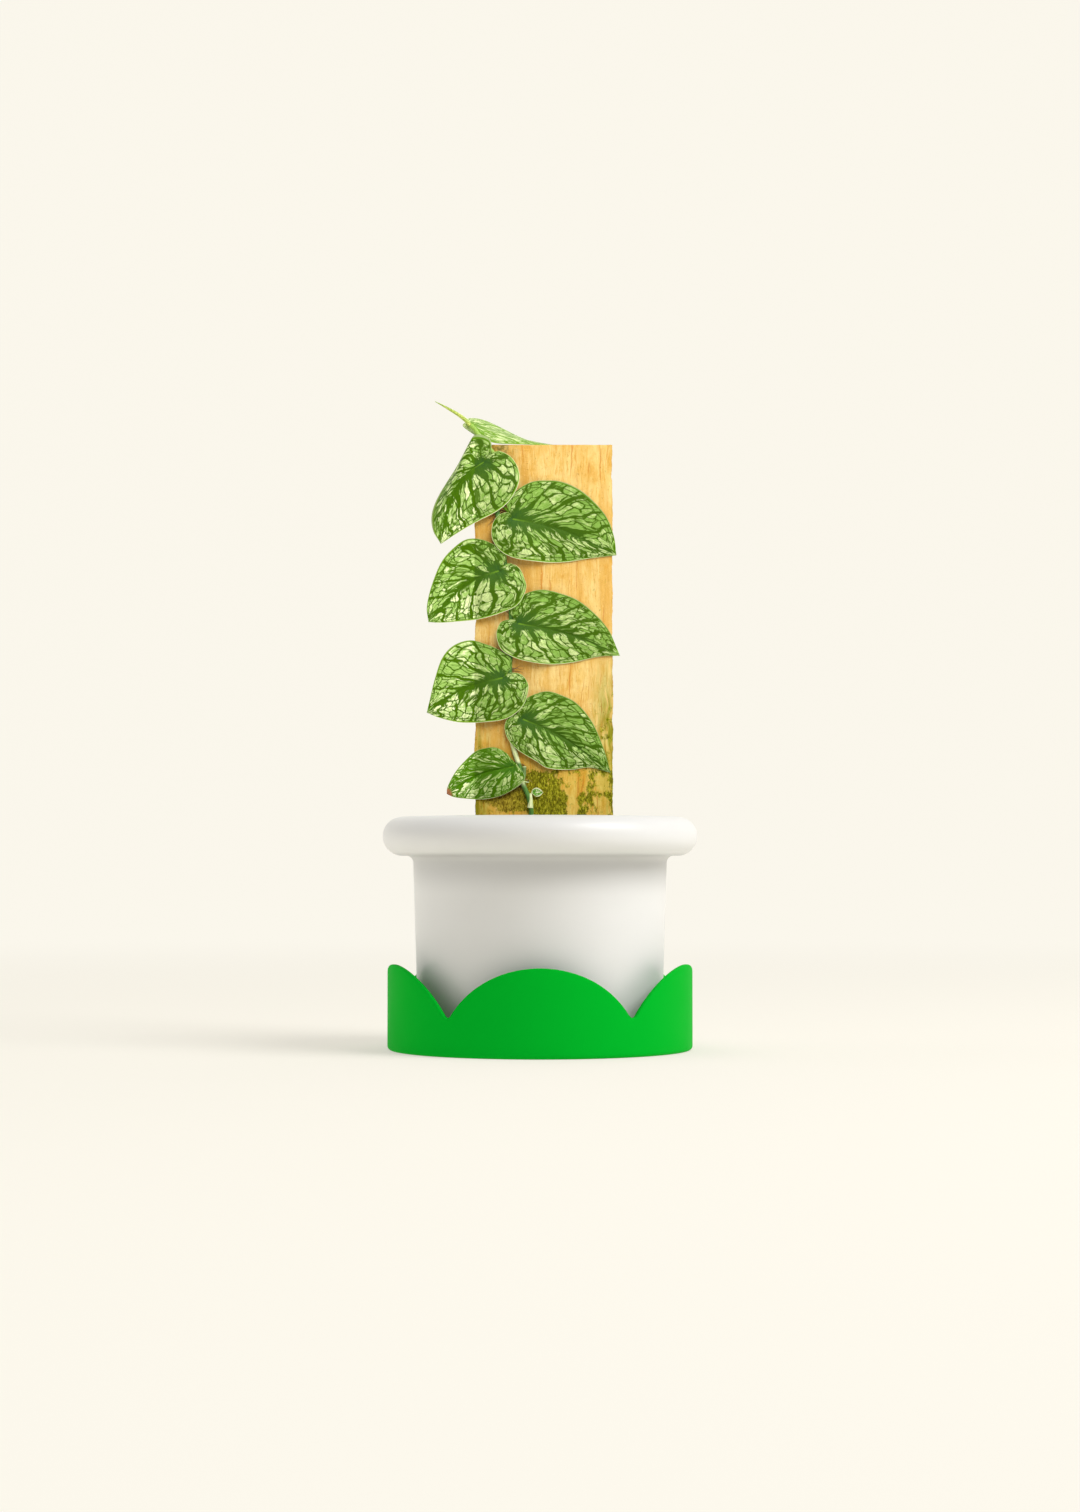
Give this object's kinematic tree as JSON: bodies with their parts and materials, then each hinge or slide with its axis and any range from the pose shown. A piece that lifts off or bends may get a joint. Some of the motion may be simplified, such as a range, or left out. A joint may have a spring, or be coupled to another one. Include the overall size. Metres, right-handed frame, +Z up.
{
  "type": "potted shingle plant",
  "caption": "Shingle plant with overlapping silver-marked leaves pressed to a raw wooden board, in a white pot with a rolled rim on a green scalloped saucer.",
  "frame": {"origin": "middle of the saucer's underside, on the surface it stands on", "axes": "+Z up along the pot's axis, the leaves face -Y, +X to the right as seen from the front"},
  "size_m": [0.2026, 0.2026, 0.4183],
  "materials": {
    "saucer": "satin green glaze",
    "pot": "glossy white glaze",
    "soil": "moist dark potting mix with bark",
    "board": "raw sawn board, algae-stained at its foot",
    "vine": "smooth green stem",
    "leaf": "satin dark green leaf with silver marks",
    "young_leaf": "soft pale green new leaf"
  },
  "bodies": {
    "root": {"saucer": "saucer", "pot": "pot", "soil": "soil", "board": "board", "vine": "vine", "leaf_left_1": "leaf", "leaf_right_1": "leaf", "leaf_left_2": "leaf", "leaf_right_2": "leaf", "leaf_left_3": "leaf", "leaf_right_3": "leaf", "leaf_left_4": "leaf", "leaf_tiny": "leaf", "leaf_top": "young_leaf", "growing_tip": "young_leaf"}
  },
  "joints": []
}
